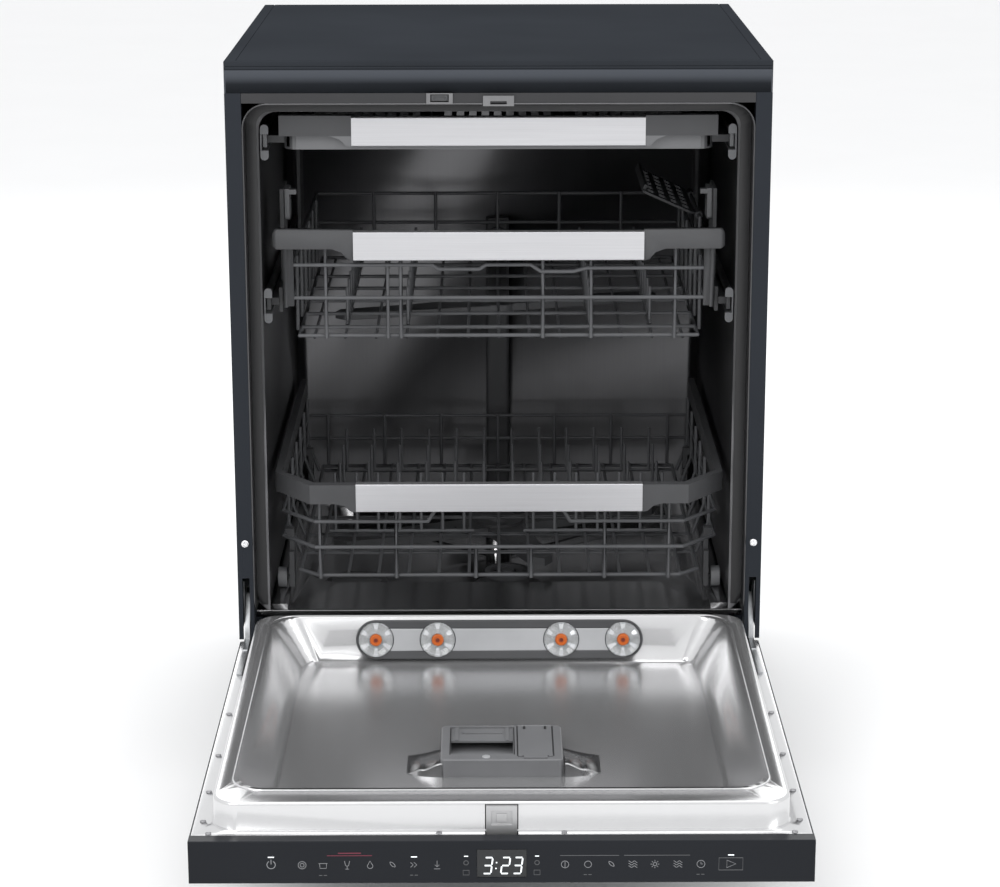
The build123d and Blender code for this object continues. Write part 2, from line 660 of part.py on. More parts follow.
# each side, the floor and each row of tines is a flat frame of its own, welded side by side
with BuildPart() as mid_basket:
    w = bent([(-227, 57, MZ0), (227, 57, MZ0), (227, 496, MZ0), (-227, 496, MZ0), (-227, 57, MZ0)]) + [ball((-227, 57, MZ0))]
    for y in (95, 165, 235, 305, 375, 445):
        w += [rod((-227, y, MZ0 + 1), (227, y, MZ0 + 1))]
    for x in range(-210, 211, 35):
        w += [rod((x, 57, MZ0 - 2.2), (x, 496, MZ0 - 2.2), 3.6)]
    pieces = [fused(w)]
    w = [rod((-MX, MY0, MZ1), (MX, MY0, MZ1))]
    w += bent([(-MX, MY0, MZ2), (-75, MY0, MZ2), (-68, MY0, MZ2 - 5), (-22, MY0, MZ2 - 5), (-14, MY0, MZ2),
               (36, MY0, MZ2), (48, MY0, MZ2 - 8), (84, MY0, MZ2 - 8), (100, MY0, MZ2 - 4), (MX, MY0, MZ2 - 4)])
    w += [ball((-MX, MY0, MZ1)), ball((MX, MY0, MZ1)), ball((-MX, MY0, MZ2)), ball((MX, MY0, MZ2 - 4))]
    for x in (-196, -126, -111, 50, 105, 200):
        w += [rod((x, MY0 + 2.5, MZ0 - 2), (x, MY0 + 2.5, MZ2 + 20))]
    pieces += [fused(w)]
    w = []
    for z in (MZ1, MZ2):
        w += [rod((-MX, MY1, z), (MX, MY1, z)), ball((-MX, MY1, z)), ball((MX, MY1, z))]
    for x in (-160, -80, 0, 80, 160):
        w += [rod((x, MY1 - 2.5, MZ0 - 2), (x, MY1 - 2.5, MZ2 + 2))]
    pieces += [fused(w)]
    for s in (-1, 1):
        dz = 4 if s > 0 else 0
        w = [rod((s * MX, MY0 + 2.3, MZ1), (s * MX, MY1 - 2.3, MZ1)), rod((s * MX, MY0 + 2.3, MZ2 - dz), (s * MX, MY1 - 2.3, MZ2))]
        for y in (95, 165, 235, 305, 375, 445):
            w += [rod((s * (MX - 2.5), y, MZ0 - 2), (s * (MX - 2.5), y, MZ2 + 2))]
        if s > 0:
            # posts and axle of the folding shelf
            w += bent([(231.5, 190, MZ2 - 40), (238, 190, MZ2 + 2), (238, 190, 640), (238, 372, 640), (238, 372, MZ2 + 2),
                       (231.5, 372, MZ2 - 40)])
        pieces += [fused(w)]
    # rows of short tines
    for x in (-175, -105, 105, 175):
        w = [rod((x, 95, MZ0 + 5.1), (x, 480, MZ0 + 5.1), 3.6)]
        for y in range(110, 480, 45):
            w += [rod((x, y, MZ0 + 5.1), (x, y, MZ0 + 45), 3.6)]
        pieces += [fused(w)]
    add(pieces)
save(mid_basket, "middle_basket")

with BuildPart() as mid_bar:
    blk(-HANDLE_X, HANDLE_X, 34, 46, 620.8, 653.6)
    fillet(mid_bar.edges().filter_by(Axis.X), 1.5)
save(mid_bar, "middle_basket_handle_bar")

with BuildPart() as mid_ends:
    for sk in handle_ends(35, 47.8, HANDLE_X + 0.1, 254, 634, 656, 620.5, 655):
        extrude(sk, amount=12.6)
    fillet(mid_ends.edges().filter_by(Axis.Y).filter_by(lambda e: abs(e.center().X) > 250), 5)
    # cheeks that run back and down to the wires
    both(238.5, 243, 40, 92, 566, 640)
    both(232, 243, 47, 56, 566, 634)
    # tube that feeds the spray arm
    blk(-12, 12, 280, 512, 519.2, 525.4)
    with Locations(Plane(origin=(0, 512, 512.5), z_dir=(0, 1, 0))):
        Cylinder(12.5, 8)
    with Locations((0, 290, 512.5)):
        Cylinder(6.0, 15)
    with Locations((0, 290, 504)):
        Cylinder(12, 3)
save(mid_ends, "middle_basket_frame")

with BuildPart() as carriage:
    both(258.5, 262.6, 48, 500, 561.5, 576.5)
    both(250, 258.5, 60, 480, 565, 573)
    both(246, 250, 64, 470, 556, 584)
    both(246, 250, 104, 158, 584, 690)
    both(246, 250, 380, 434, 584, 690)
    for s in (-1, 1):
        with Locations(Plane(origin=(s * 243.4, 131, 676), z_dir=(1, 0, 0))):
            Cylinder(3.0, 7.6)
save(carriage, "height_carriage")

with BuildPart() as lever:
    for s in (-1, 1):
        a, b = sorted((s * 240.2, s * 245.4))
        blk(a, b, 116, 146, 652, 688)
        a2, b2 = sorted((s * 240.2, s * 232))
        blk(min(a2, b2), max(a2, b2), 116, 123, 682, 687.4)
        with Locations(Plane(origin=(s * 243, 131, 676), z_dir=(1, 0, 0))):
            Cylinder(3.06, 9, mode=Mode.SUBTRACT)
    fillet(lever.edges().filter_by(Axis.X).filter_by(lambda e: e.center().Z < 653), 5)
save(lever, "height_levers")

with BuildPart() as shelf:
    # tilted slatted shelf, its inner edge raised
    tilt = Plane(origin=(238, 0, 640), x_dir=(-0.9135, 0, 0.4067), z_dir=(0.4067, 0, 0.9135))
    with BuildSketch(tilt.offset(-1.5)):
        with Locations((40, -281)):
            RectangleRounded(68, 168, 8)
        with Locations((40, -281)):
            with GridLocations(15, 26, 4, 6):
                RectangleRounded(9, 20, 2, mode=Mode.SUBTRACT)
    extrude(amount=3)
    with BuildSketch(tilt.offset(1.5)):
        with Locations((72, -281)):
            Rectangle(4, 150)
    extrude(amount=6)
    for y in (215, 347):
        with Locations(Plane(origin=(238, y, 640), z_dir=(0, 1, 0))):
            Cylinder(4.6, 24)
    with BuildSketch(tilt.offset(-1.5)):
        with Locations((5, -215), (5, -347)):
            Rectangle(9, 22)
    extrude(amount=3)
    for y in (215, 347):
        with Locations(Plane(origin=(238, y, 640), z_dir=(0, 1, 0))):
            Cylinder(2.27, 26, mode=Mode.SUBTRACT)
save(shelf, "cup_shelf")

with BuildPart() as mid_arm:
    with Locations((0, 290, 512)):
        Cylinder(24, 11)
    for ang in (15, 195):
        with BuildSketch(Plane(origin=(0, 290, 508), x_dir=(1, 0, 0), z_dir=(0, 0, 1)).rotated((0, 0, ang))):
            with BuildLine():
                Polyline((0, -20), (195, -13), (204, 0), (195, 13), (0, 20), (0, -20))
            make_face()
        extrude(amount=8.4)
    with Locations((0, 290, 512)):
        Cylinder(6.08, 20, mode=Mode.SUBTRACT)
save(mid_arm, "middle_spray_arm")

# ---- lower basket -------------------------------------------------------
LY0, LY1, LZ0, LZ1, LZ2 = 34.0, 505.0, 247.0, 283.5, 314.5
with BuildPart() as low_basket:
    w = bent([(-231.5, 62, LZ0), (-209, 41.5, LZ0), (209, 41.5, LZ0), (231.5, 62, LZ0), (231.5, 498.5, LZ0),
              (-231.5, 498.5, LZ0), (-231.5, 62, LZ0)]) + [ball((-231.5, 62, LZ0))]
    for y in (130, 200, 270, 340, 410, 480):
        w += [rod((-231.5, y, LZ0 - 1), (231.5, y, LZ0 - 1))]
    for x in range(-210, 211, 35):
        w += [rod((x, 43 if abs(x) > 209 else 41.5, LZ0 + 1.5), (x, 498.5, LZ0 + 1.5), 3.6)]
    pieces = [fused(w)]
    w = [rod((-212, LY0, LZ1), (212, LY0, LZ1)), ball((-212, LY0, LZ1)), ball((212, LY0, LZ1))]
    for s in (-1, 1):
        w += bent([(s * 74, LY0 - 9, 330), (s * 82, LY0, LZ2), (s * 212, LY0, LZ2)]) + [ball((s * 212, LY0, LZ2))]
    for x in (-207, -119, 122, 196):
        w += [rod((x, LY0 + 3, LZ0 - 2), (x, LY0 + 3, 340))]
    for x in (-27, 37):
        w += [rod((x, LY0 + 3, LZ0 - 2), (x, LY0 + 3, LZ1 + 2))]
    pieces += [fused(w)]
    w = []
    for z in (LZ1, LZ2):
        w += [rod((-252, LY1, z), (252, LY1, z)), ball((-252, LY1, z)), ball((252, LY1, z))]
    for x in (-225, -150, -75, 0, 75, 150, 225):
        w += [rod((x, LY1 - 2, LZ0 - 2), (x, LY1 - 2, LZ2 + 2))]
    pieces += [fused(w)]
    for s in (-1, 1):
        w = []
        for z in (LZ1, LZ2):
            w += [rod((s * 252, 78, z), (s * 252, LY1 - 2.3, z)), ball((s * 252, 78, z))]
            # the wire round the chamfered corner
            pieces += [rod((s * 213.6, LY0 + 1.76, z), (s * 250.4, 76.24, z))]
        for y in (130, 200, 270, 340, 410, 480):
            w += bent([(s * 236, y, LZ0 - 1), (s * 250, y, LZ1), (s * 250, y, 344)])
        pieces += [fused(w)]
    for y in (300, 380, 460):
        w = [rod((-205, y, LZ0 + 5.2), (205, y, LZ0 + 5.2), 3.6)]
        for x in range(-198, 200, 36):
            w += [rod((x, y, LZ0 + 5.2), (x, y, LZ0 + 62), 3.6)]
        pieces += [fused(w)]
    add(pieces)
save(low_basket, "lower_basket")

with BuildPart() as low_bar:
    blk(-HANDLE_X, HANDLE_X, 6, 18, 334, 367)
    fillet(low_bar.edges().filter_by(Axis.X), 1.5)
save(low_bar, "lower_basket_handle_bar")

with BuildPart() as low_ends:
    for s in (-1, 1):
        with BuildSketch(Plane.XY.offset(343.5)):
            with BuildLine():
                Polyline((s * (HANDLE_X + 0.1), 7), (s * 216, 7), (s * 259, 62), (s * 259, 500), (s * 251, 500), (s * 251, 66),
                         (s * 212, 19), (s * (HANDLE_X + 0.1), 19), (s * (HANDLE_X + 0.1), 7))
            make_face()
        extrude(amount=22.5)
        with BuildSketch(xz(19)):
            with BuildLine():
                Polyline((s * (HANDLE_X + 0.1), 333.6), (s * (HANDLE_X + 6), 334.6), (s * (HANDLE_X + 13), 341), (s * (HANDLE_X + 24), 343.6),
                         (s * (HANDLE_X + 24), 350), (s * (HANDLE_X + 0.1), 350), (s * (HANDLE_X + 0.1), 333.6))
            make_face()
        extrude(amount=12)
    # roller brackets and their axles
    for s in (-1, 1):
        for y in (96, 440):
            a, b = sorted((s * 241, s * 246.6))
            blk(a, b, y - 13, y + 13, 219, 262)
            blk(a, b, y - 5, y + 5, 262, 288)
            a, b = sorted((s * 241, s * 252))
            blk(a, b, y - 5, y + 5, 279, 288)
            with Locations(Plane(origin=(s * 253.4, y, 227), z_dir=(1, 0, 0))):
                Cylinder(3.0, 18)
save(low_ends, "lower_basket_frame")

for name, y in (("rollers_front", 96), ("rollers_rear", 440)):
    with BuildPart() as roller:
        for s in (-1, 1):
            with Locations(Plane(origin=(s * 255.6, y, 227), z_dir=(1, 0, 0))):
                Cylinder(12, 11)
        fillet(roller.edges().filter_by(GeomType.CIRCLE), 1.2)
        for s in (-1, 1):
            with Locations(Plane(origin=(s * 255.6, y, 227), z_dir=(1, 0, 0))):
                Cylinder(3.06, 14, mode=Mode.SUBTRACT)
                for k in range(6):
                    pass
    save(roller, name)

with BuildPart() as comb:
    w = []
    for s in (-1, 1):
        w.append(rod((s * 30, 190, 254), (s * 205, 190, 254)))
        for i in range(7):
            w.append(rod((s * (42 + i * 26), 190, 254), (s * (42 + i * 26), 190, 326), 3.6))
            w.append(ball((s * (42 + i * 26), 190, 326), 3.6))
    add(w)
save(comb, "folding_tines")
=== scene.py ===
import bpy, bmesh, math
from mathutils import Vector, Matrix


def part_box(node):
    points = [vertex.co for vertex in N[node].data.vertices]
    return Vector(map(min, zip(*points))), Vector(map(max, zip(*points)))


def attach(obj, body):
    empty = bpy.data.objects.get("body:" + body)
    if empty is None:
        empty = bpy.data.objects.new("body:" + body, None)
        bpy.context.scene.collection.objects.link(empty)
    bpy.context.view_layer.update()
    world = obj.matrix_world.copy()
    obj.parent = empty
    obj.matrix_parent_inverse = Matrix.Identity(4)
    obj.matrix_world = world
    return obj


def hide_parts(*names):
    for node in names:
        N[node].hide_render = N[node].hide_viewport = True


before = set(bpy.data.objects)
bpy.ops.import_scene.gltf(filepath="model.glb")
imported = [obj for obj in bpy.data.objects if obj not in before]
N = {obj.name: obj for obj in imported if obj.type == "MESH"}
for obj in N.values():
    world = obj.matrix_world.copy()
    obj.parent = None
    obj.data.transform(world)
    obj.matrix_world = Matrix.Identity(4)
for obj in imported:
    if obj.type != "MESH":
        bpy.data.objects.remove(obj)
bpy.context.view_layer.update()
R = math.radians

# ------------------------------------------------------------------ materials
def new_mat(name):
    m = bpy.data.materials.new(name)
    m.use_nodes = True
    nt = m.node_tree
    b = nt.nodes["Principled BSDF"]
    return m, nt, b


def coords(nt, scale=(1, 1, 1), rot=(0, 0, 0)):
    tc = nt.nodes.new("ShaderNodeTexCoord")
    mp = nt.nodes.new("ShaderNodeMapping")
    mp.inputs["Scale"].default_value = scale
    mp.inputs["Rotation"].default_value = rot
    nt.links.new(tc.outputs["Object"], mp.inputs["Vector"])
    return mp.outputs["Vector"]


def noise(nt, vec, scale, detail=4, rough=0.55):
    n = nt.nodes.new("ShaderNodeTexNoise")
    n.inputs["Scale"].default_value = scale
    n.inputs["Detail"].default_value = detail
    n.inputs["Roughness"].default_value = rough
    nt.links.new(vec, n.inputs["Vector"])
    return n.outputs["Fac"]


def ramp(nt, fac, lo, hi, p0=0.3, p1=0.7):
    r = nt.nodes.new("ShaderNodeMapRange")
    r.inputs["From Min"].default_value = p0
    r.inputs["From Max"].default_value = p1
    r.inputs["To Min"].default_value = lo
    r.inputs["To Max"].default_value = hi
    nt.links.new(fac, r.inputs["Value"])
    return r.outputs["Result"]


def tint(nt, fac, c0, c1, p0=0.3, p1=0.7):
    r = nt.nodes.new("ShaderNodeValToRGB")
    r.color_ramp.elements[0].position = p0
    r.color_ramp.elements[1].position = p1
    r.color_ramp.elements[0].color = (*c0, 1)
    r.color_ramp.elements[1].color = (*c1, 1)
    nt.links.new(fac, r.inputs["Fac"])
    return r.outputs["Color"]


def bump(nt, b, h, strength, dist):
    n = nt.nodes.new("ShaderNodeBump")
    n.inputs["Strength"].default_value = strength
    n.inputs["Distance"].default_value = dist
    nt.links.new(h, n.inputs["Height"])
    nt.links.new(n.outputs["Normal"], b.inputs["Normal"])


def band(nt, sock, lo, hi, soft):
    """1 between lo and hi along a coordinate, falling to 0 over soft on both sides."""
    a = ramp(nt, sock, 0, 1, lo - soft, lo)
    b = ramp(nt, sock, 1, 0, hi, hi + soft)
    return times(nt, a, b)


def times(nt, a, b):
    m = nt.nodes.new("ShaderNodeMath"); m.operation = "MULTIPLY"
    nt.links.new(a, m.inputs[0]); nt.links.new(b, m.inputs[1])
    return m.outputs[0]


def xyz(nt, which):
    tc = nt.nodes.new("ShaderNodeTexCoord")
    sp = nt.nodes.new("ShaderNodeSeparateXYZ")
    nt.links.new(tc.outputs[which], sp.inputs[0])
    return sp.outputs


def over(nt, b, mask, col):
    """Lay another colour over the base colour where the mask is 1."""
    old = b.inputs["Base Color"].links[0].from_socket
    mx = nt.nodes.new("ShaderNodeMix"); mx.data_type = "RGBA"
    nt.links.new(mask, mx.inputs["Factor"])
    nt.links.new(old, mx.inputs["A"])
    mx.inputs["B"].default_value = (*col, 1)
    nt.links.new(mx.outputs["Result"], b.inputs["Base Color"])


def brushed(name, col, rough=0.28, stretch=(6, 900, 900), var=0.10, spread=0.10, relief=0.12, metal=1.0):
    """Rolled or brushed metal: long fine streaks along one axis, and a slow cloud over them."""
    m, nt, b = new_mat(name)
    v = coords(nt, stretch)
    f = noise(nt, v, 1.0, 5, 0.6)
    cloud = noise(nt, coords(nt, (7, 7, 7)), 1.0, 2)
    b.inputs["Metallic"].default_value = 1.0
    lo = tuple(c * (1 - var) for c in col)
    hi = tuple(min(1, c * (1 + var)) for c in col)
    nt.links.new(tint(nt, f, lo, hi), b.inputs["Base Color"])
    mix = nt.nodes.new("ShaderNodeMath"); mix.operation = "ADD"
    nt.links.new(ramp(nt, f, rough - spread / 2, rough + spread / 2), mix.inputs[0])
    nt.links.new(ramp(nt, cloud, -0.03, 0.03, 0.0, 1.0), mix.inputs[1])
    nt.links.new(mix.outputs[0], b.inputs["Roughness"])
    b.inputs["Metallic"].default_value = metal
    if relief:
        bump(nt, b, f, relief, 0.00006)
    return m


def plastic(name, col, rough=0.45, grain=2600, depth=0.00005, var=0.10, strength=0.35, spec=0.5):
    """Moulded plastic: spark-eroded grain, slight mottle and rubbed high spots."""
    m, nt, b = new_mat(name)
    v = coords(nt)
    g = noise(nt, v, grain, 2)
    c = noise(nt, v, 14, 3)
    lo = tuple(x * (1 - var) for x in col)
    hi = tuple(x * (1 + var) for x in col)
    nt.links.new(tint(nt, c, lo, hi), b.inputs["Base Color"])
    nt.links.new(ramp(nt, c, rough - 0.05, rough + 0.05), b.inputs["Roughness"])
    b.inputs["Specular IOR Level"].default_value = spec
    bump(nt, b, g, strength, depth)
    return m


def paint(name, col, rough=0.36, spec=0.18):
    """Powder-coated sheet: orange peel under a fine sparkle of roughness."""
    m, nt, b = new_mat(name)
    v = coords(nt)
    peel = noise(nt, v, 420, 3)
    c = noise(nt, v, 5, 2)
    fine = noise(nt, v, 3000, 1)
    nt.links.new(tint(nt, c, tuple(x * 0.93 for x in col), tuple(x * 1.07 for x in col)), b.inputs["Base Color"])
    nt.links.new(ramp(nt, fine, rough - 0.06, rough + 0.06), b.inputs["Roughness"])
    b.inputs["Specular IOR Level"].default_value = spec
    bump(nt, b, peel, 0.18, 0.00012)
    return m


def glass(name, col, rough=0.03):
    m, nt, b = new_mat(name)
    v = coords(nt)
    n = noise(nt, v, 60, 2)
    nt.links.new(tint(nt, n, tuple(x * 0.96 for x in col), col), b.inputs["Base Color"])
    nt.links.new(ramp(nt, n, rough, rough + 0.05), b.inputs["Roughness"])
    b.inputs["Transmission Weight"].default_value = 0.75
    b.inputs["IOR"].default_value = 1.49
    return m


M = {
    "slate": paint("slate_paint", (0.0195, 0.0225, 0.028), 0.42, 0.10),
    "worktop": paint("worktop_laminate", (0.027, 0.030, 0.035), 0.70, 0.0),
    # painted shade: the tub steel gets a dark base colour standing in for the shade and dark reflections inside the
    # chamber
    "tub": brushed("tub_steel_painted_shade", (0.17, 0.17, 0.175), 0.30, (300, 300, 3), 0.03, 0.02, 0),
    "liner": brushed("liner_steel", (0.64, 0.64, 0.645), 0.25, (60, 2, 60), 0.012, 0.012, 0, 0.86),
    "bar": brushed("handle_aluminium", (0.56, 0.56, 0.575), 0.42, (8, 900, 900), 0.05, 0.08, 0.05, 0.9),
    "galv": brushed("zinc_plate", (0.42, 0.43, 0.44), 0.36, (90, 90, 90), 0.18),
    "chrome": brushed("bright_chrome", (0.78, 0.78, 0.79), 0.12, (60, 60, 60), 0.04, 0.05),
    "grey": plastic("grey_moulding", (0.062, 0.063, 0.066), 0.48, spec=0.3),
    "midgrey": plastic("dispenser_grey", (0.150, 0.152, 0.158), 0.42),
    "caps": plastic("cap_grey", (0.125, 0.128, 0.134), 0.5, spec=0.25),
    "strike": brushed("strike_steel", (0.22, 0.22, 0.225), 0.45, (60, 60, 60), 0.08, 0.08, 0),
    "screw": brushed("screw_steel", (0.30, 0.30, 0.31), 0.35, (60, 60, 60), 0.08, 0.08, 0),
    "nylon": plastic("nylon_wire_coat", (0.085, 0.087, 0.092), 0.40, 900, 0.00008, 0.14, spec=0.35),
    "black": plastic("black_moulding", (0.018, 0.018, 0.02), 0.5),
    "rubber": plastic("gasket_rubber", (0.022, 0.022, 0.023), 0.62, 1500, 0.00008),
    "plate": plastic("light_grey_plate", (0.36, 0.365, 0.375), 0.36, 2600),
    "white": plastic("natural_polypropylene", (0.55, 0.55, 0.52), 0.5, 900),
    "fascia": paint("fascia_lacquer", (0.0125, 0.0140, 0.0172), 0.32, 0.12),
    "board": plastic("circuit_board", (0.015, 0.11, 0.045), 0.4, 700, 0.0001, 0.3),
    "orange": plastic("orange_silicone", (0.50, 0.105, 0.010), 0.32, 1500, 0.00004, 0.12),
    "lens": glass("clear_lens", (0.95, 0.97, 0.98)),
    "window": glass("display_glass", (0.03, 0.035, 0.04), 0.05),
    "glyph": plastic("printed_legend", (0.22, 0.225, 0.235), 0.5, 3000),
    "glyphdim": plastic("printed_legend_dim", (0.10, 0.103, 0.108), 0.5, 3000),
    "red": plastic("printed_red", (0.13, 0.012, 0.03), 0.5, 3000),
}


def lit(name, col, power):
    m, nt, b = new_mat(name)
    n = noise(nt, coords(nt), 200, 2)
    nt.links.new(tint(nt, n, tuple(x * 0.92 for x in col), col), b.inputs["Base Color"])
    b.inputs["Emission Color"].default_value = (*col, 1)
    b.inputs["Emission Strength"].default_value = power
    return m


M["led"] = lit("display_segments", (0.80, 0.84, 0.86), 0.9)

# painted highlight: the worktop's front edge is painted a lighter band than its top, for the light it catches
nt = M["worktop"].node_tree; b = nt.nodes["Principled BSDF"]
over(nt, b, times(nt, ramp(nt, xyz(nt, "Normal")[1], 1, 0, -0.95, -0.55), ramp(nt, xyz(nt, "Object")[2], 1, 0, 0.8395, 0.8405)), (0.066, 0.072, 0.083))
# painted shade: the liner is painted darker where it falls from the front rim into the recess
nt = M["liner"].node_tree; b = nt.nodes["Principled BSDF"]
c = xyz(nt, "Object")
over(nt, b, times(nt, times(nt, band(nt, c[1], -0.500, -0.463, 0.003), band(nt, c[0], -0.232, 0.232, 0.02)), ramp(nt, xyz(nt, "Normal")[1], 0, 1, 0.02, 0.10)), (0.06, 0.06, 0.062))
# lower part of the tray's front is a lighter grey
M["tray"] = plastic("tray_moulding", (0.058, 0.059, 0.062), 0.48, spec=0.3)
nt = M["tray"].node_tree; b = nt.nodes["Principled BSDF"]
c = xyz(nt, "Object")
over(nt, b, times(nt, ramp(nt, c[2], 1, 0, 0.7615, 0.7622), ramp(nt, c[1], 1, 0, 0.049, 0.0495)), (0.145, 0.147, 0.152))
M["flare"] = brushed("flare_steel", (0.34, 0.34, 0.345), 0.26, (60, 60, 4), 0.04, 0.03, 0)
M["satin"] = brushed("satin_steel", (0.50, 0.50, 0.505), 0.42, (60, 60, 60), 0.04, 0.05, 0, 0.85)
M["tubfloor"] = brushed("chamber_floor_steel", (0.55, 0.55, 0.555), 0.24, (120, 120, 120), 0.03, 0.03, 0)
M["tag"] = plastic("button_grey", (0.33, 0.335, 0.345), 0.35, spec=0.5)
M["seam"] = plastic("shadow_seam", (0.012, 0.012, 0.013), 0.6)

LOOK = dict(worktop="worktop", side_panel_left="slate", side_panel_right="slate", back_panel="galv", base_tray="black",
            kick_plate="slate", front_crossbar="black", door_strike="strike", pillar_screws="chrome", tub="tub",
            tub_floor="tubfloor", door_gasket="rubber", hinge_brackets="galv", door_springs="galv",
            sump_and_drain_pump="white", circulation_pump="galv", water_softener="white", fill_case="white",
            rear_connections="grey", steam_generator="grey", feed_pipe="grey", rack_rails="galv", rail_end_caps="caps",
            door_outer_panel="slate", control_fascia="fascia", control_board="board", door_liner="liner", latch="satin",
            door_screws="screw", hinge_arms="galv", steam_bar_bezel="grey", steam_bar_cover="plate",
            nozzle_lenses="lens", steam_nozzles="orange", dispenser_housing="midgrey", detergent_lid="midgrey",
            rinse_aid_flap="midgrey", dispenser_button="tag", opening_pusher="grey", filter_cylinder="grey",
            salt_cap="grey", lower_spray_arm="grey", cutlery_tray="tray", cutlery_tray_handle_bar="bar",
            height_carriage="grey", middle_basket="nylon", middle_basket_handle_bar="bar", middle_basket_frame="grey",
            height_levers="midgrey", cup_shelf="grey", middle_spray_arm="grey", lower_basket="nylon",
            lower_basket_handle_bar="bar", lower_basket_frame="grey", rollers_front="midgrey", rollers_rear="midgrey",
            folding_tines="nylon", foot_front_left="black", foot_front_right="black", feet_rear="black")
BEVEL = dict(side_panel_left=0.0004, side_panel_right=0.0004, door_outer_panel=0.0004, kick_plate=0.0006,
             control_fascia=0.0005, cutlery_tray=0.0006, steam_generator=0.002, water_softener=0.003, fill_case=0.002,
             lower_basket_frame=0.0012, height_carriage=0.0008, lower_spray_arm=0.0025, middle_spray_arm=0.002,
             dispenser_housing=0.0005, detergent_lid=0.0005, rinse_aid_flap=0.0004, hinge_arms=0.0005,
             hinge_brackets=0.0003, latch=0.0006, base_tray=0.0006, circulation_pump=0.002, height_levers=0.0008,
             feed_pipe=0.001, rear_connections=0.0008, sump_and_drain_pump=0.0008, filter_cylinder=0.0006, salt_cap=0.0008,
             cup_shelf=0.0004, rail_end_caps=0.0008, door_strike=0.0002, front_crossbar=0.0003)


def finish_mesh(o, bevel=0.0, angle=32):
    w = o.modifiers.new("weld", "WELD"); w.merge_threshold = 0.00001
    if bevel:
        b = o.modifiers.new("bevel", "BEVEL")
        b.width = bevel; b.segments = 2; b.limit_method = "ANGLE"; b.angle_limit = R(38)
        b.use_clamp_overlap = True
    for p in o.data.polygons:
        p.use_smooth = True
    o.data.set_sharp_from_angle(angle=R(angle))
    wn = o.modifiers.new("flat_faces", "WEIGHTED_NORMAL")
    wn.mode = "FACE_AREA"; wn.weight = 100; wn.keep_sharp = True


for n, o in N.items():
    o.data.materials.clear()
    o.data.materials.append(M[LOOK[n]])
    finish_mesh(o, BEVEL.get(n, 0))

# ------------------------------------------------------------------ camera, floor, light
cam_d = bpy.data.cameras.new("cam")
cam = bpy.data.objects.new("cam", cam_d)
bpy.context.collection.objects.link(cam)
cam_d.sensor_width = 36.0
cam_d.lens = 2659.0 * 36.0 / 1000.0
cam_d.shift_y = -0.03
cam_d.clip_end = 60
cam.location = (-0.01019, -2.89777, 1.22799)
th, ps, rl = 0.26162, 0.00389, 0.00158
fw = Vector((math.sin(ps) * math.cos(th), math.cos(ps) * math.cos(th), -math.sin(th)))
rt = Vector((math.cos(ps), -math.sin(ps), 0))
up = rt.cross(fw)
rt2 = rt * math.cos(rl) + up * -math.sin(rl)
up2 = rt2.cross(fw)
cam.rotation_euler = Matrix((rt2, up2, -fw)).transposed().to_euler()
bpy.context.scene.camera = cam


def mesh_obj(name, bm, mat, body=None, bevel=0.0, angle=32, smooth=True):
    me = bpy.data.meshes.new(name)
    bmesh.ops.recalc_face_normals(bm, faces=bm.faces)
    bm.to_mesh(me); bm.free()
    o = bpy.data.objects.new(name, me)
    bpy.context.collection.objects.link(o)
    me.materials.append(mat)
    if smooth:
        finish_mesh(o, bevel, angle)
    if body:
        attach(o, body)
    return o


bm = bmesh.new()
bmesh.ops.create_grid(bm, x_segments=1, y_segments=1, size=14)
floor_m, nt, b = new_mat("floor_pale")
nt.links.new(tint(nt, noise(nt, coords(nt), 3, 2), (0.875, 0.875, 0.875), (0.885, 0.885, 0.885)), b.inputs["Base Color"])
b.inputs["Roughness"].default_value = 0.75
floor = mesh_obj("floor", bm, floor_m, smooth=False)
floor.location.z = -0.0005

world = bpy.data.worlds.new("w"); bpy.context.scene.world = world
world.use_nodes = True
world.node_tree.nodes["Background"].inputs[0].default_value = (0.985, 0.99, 1.0, 1)
world.node_tree.nodes["Background"].inputs[1].default_value = 1.05


def area(name, loc, aim, size, power, size_y=None):
    d = bpy.data.lights.new(name, "AREA")
    d.energy = power; d.size = size
    if size_y:
        d.shape = "RECTANGLE"; d.size_y = size_y
    o = bpy.data.objects.new(name, d)
    o.location = loc
    o.rotation_euler = (Vector(aim) - Vector(loc)).to_track_quat("-Z", "Y").to_euler()
    bpy.context.collection.objects.link(o)
    return o


area("key", (-1.6, -2.6, 2.6), (0, -0.1, 0.4), 1.6, 34)
area("fill", (2.0, -2.4, 1.8), (0, 0, 0.4), 1.8, 20)
area("top", (0, -0.2, 3.2), (0, -0.1, 0.2), 2.2, 26)
area("back", (0, 2.8, 2.2), (0, 0.2, 0.6), 2.0, 25)
bpy.context.scene.view_settings.view_transform = "Standard"
# ------------------------------------------------------------------ building helpers
def box(bm, x0, x1, y0, y1, z0, z1):
    vs = [bm.verts.new(c) for c in ((x0, y0, z0), (x1, y0, z0), (x1, y1, z0), (x0, y1, z0), (x0, y0, z1), (x1, y0, z1), (x1, y1, z1), (x0, y1, z1))]
    for f in ((0, 3, 2, 1), (4, 5, 6, 7), (0, 1, 5, 4), (1, 2, 6, 5), (2, 3, 7, 6), (3, 0, 4, 7)):
        bm.faces.new([vs[i] for i in f])


